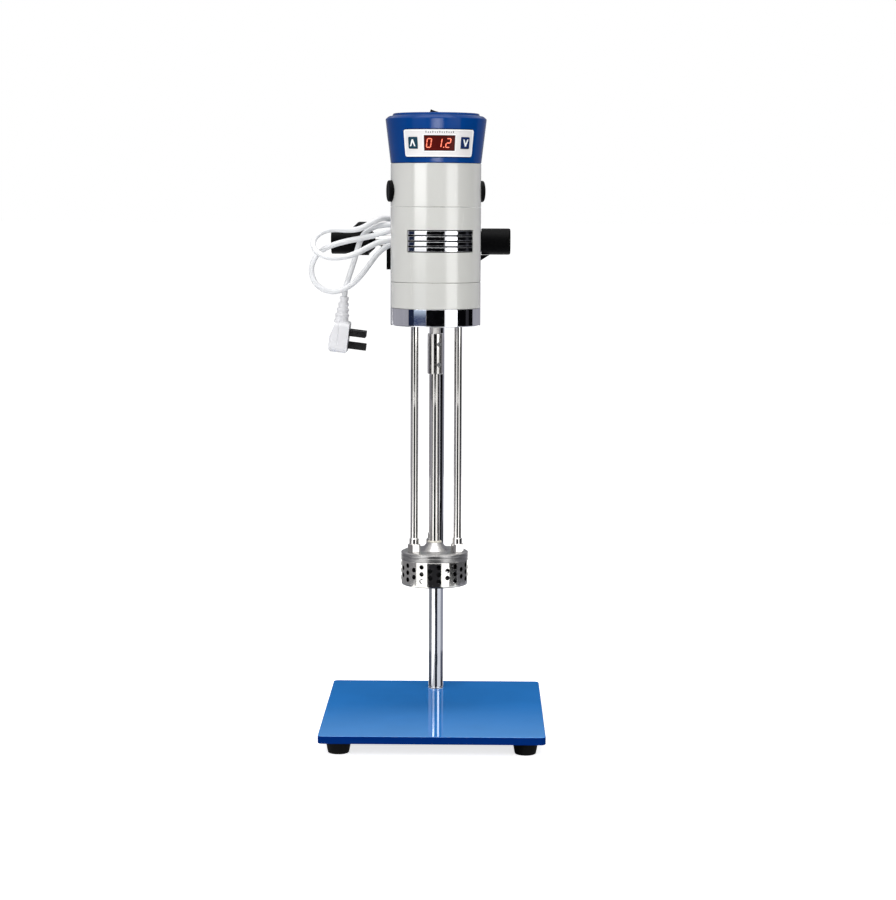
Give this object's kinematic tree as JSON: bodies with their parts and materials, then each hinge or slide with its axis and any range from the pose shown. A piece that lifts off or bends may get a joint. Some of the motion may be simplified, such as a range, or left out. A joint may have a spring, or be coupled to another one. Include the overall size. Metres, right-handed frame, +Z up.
{
  "type": "laboratory homogenizer",
  "caption": "Overhead laboratory homogenizer: a motor head on a bench stand drives a clawed rotor inside a perforated stator on long rods.",
  "frame": {"origin": "on the bench, under the middle of the stand's base plate", "axes": "+Z up along the post, the front with the display towards -Y, the clamp knob towards -X"},
  "size_m": [0.2498, 0.267, 0.6454],
  "materials": {
    "plate_blue": "gloss enamel",
    "foot_rubber": "matte",
    "post_chrome": "polished",
    "fixing_steel": "satin",
    "liner_nylon": "satin",
    "clamp_black": "satin",
    "grip_black": "satin",
    "ring_chrome": "polished",
    "housing_cream": "gloss enamel",
    "grille_chrome": "polished",
    "cap_blue": "satin",
    "panel_white": "satin",
    "window_red": "gloss",
    "board_green": "satin",
    "key_blue": "satin",
    "rocker_black": "gloss",
    "core_iron": "satin",
    "motor_copper": "satin",
    "fan_black": "matte",
    "brush_carbon": "matte",
    "shaft_steel": "ground",
    "work_steel": "turned",
    "gland_rubber": "matte",
    "lead_white": "satin",
    "plug_white": "satin",
    "pin_dark": "blackened"
  },
  "bodies": {
    "stand": {"base_plate": "plate_blue", "foot_front_left": "foot_rubber", "foot_front_right": "foot_rubber", "foot_rear_left": "foot_rubber", "foot_rear_right": "foot_rubber", "post": "post_chrome", "post_bolt": "fixing_steel"},
    "slide_bush": {"slide_liner": "liner_nylon"},
    "clamp_knob": {"clamp_knob": "grip_black", "clamp_screw": "fixing_steel"},
    "drive": {"armature": "motor_copper", "commutator": "motor_copper", "cooling_fan": "fan_black", "coupling": "shaft_steel", "set_screw_lower": "fixing_steel", "set_screw_upper": "fixing_steel", "drive_shaft": "shaft_steel", "rotor": "work_steel", "rotor_nut": "fixing_steel"},
    "power_rocker": {"power_rocker": "rocker_black"},
    "up_key": {"up_key": "key_blue"},
    "down_key": {"down_key": "key_blue"},
    "head": {"stator_ring": "work_steel", "stator_cover": "work_steel", "shaft_bush": "liner_nylon", "support_rod_left": "shaft_steel", "support_rod_right": "shaft_steel", "support_rod_rear": "shaft_steel", "end_ring": "ring_chrome", "housing_lower": "housing_cream", "housing_middle": "housing_cream", "housing_upper": "housing_cream", "vent_grille": "grille_chrome", "display_cap": "cap_blue", "display_bezel": "panel_white", "display_module": "window_red", "control_board": "board_green", "rocker_frame": "rocker_black", "field_stack": "core_iron", "lower_bearing": "fixing_steel", "upper_bearing": "fixing_steel", "brush_right": "brush_carbon", "brush_holder_right": "motor_copper", "brush_spring_right": "fixing_steel", "brush_cap_right": "grip_black", "brush_left": "brush_carbon", "brush_holder_left": "motor_copper", "brush_spring_left": "fixing_steel", "brush_cap_left": "grip_black", "clamp_body": "clamp_black", "side_grip": "grip_black", "carrier_screw_right": "fixing_steel", "carrier_screw_left": "fixing_steel", "cord_gland": "gland_rubber", "mains_lead": "lead_white", "plug_body": "plug_white", "plug_pin_front": "pin_dark", "plug_pin_back": "pin_dark", "plug_pin_earth": "pin_dark"}
  },
  "joints": [
    {"name": "head_slide", "type": "slide", "parent": "stand", "child": "slide_bush", "axis": [0, 0, 1], "range_m": [-0.12, 0.085]},
    {"name": "head_swivel", "type": "hinge", "parent": "slide_bush", "child": "head", "pos_m": [0, 0.102, 0.5092], "axis": [0, 0, 1], "range_deg": [-90, 90]},
    {"name": "clamp_knob_turn", "type": "hinge", "parent": "head", "child": "clamp_knob", "pos_m": [-0.09, 0.102, 0.5092], "axis": [-1, 0, 0], "range_deg": [-90, 0]},
    {"name": "rotor_spin", "type": "hinge", "parent": "head", "child": "drive", "pos_m": [0, 0, 0.3], "axis": [0, 0, 1], "continuous": true},
    {"name": "power_rocker_tip", "type": "hinge", "parent": "head", "child": "power_rocker", "pos_m": [0.002, 0, 0.6397], "axis": [0, 1, 0], "range_deg": [-24, 0]},
    {"name": "up_key_press", "type": "slide", "parent": "head", "child": "up_key", "axis": [0.4337, 0.9011, 0], "range_m": [0, 0.0008], "stiffness_N_per_m": 600, "springref_m": -0.0004},
    {"name": "down_key_press", "type": "slide", "parent": "head", "child": "down_key", "axis": [-0.606, 0.7955, 0], "range_m": [0, 0.0008], "stiffness_N_per_m": 600, "springref_m": -0.0004}
  ]
}
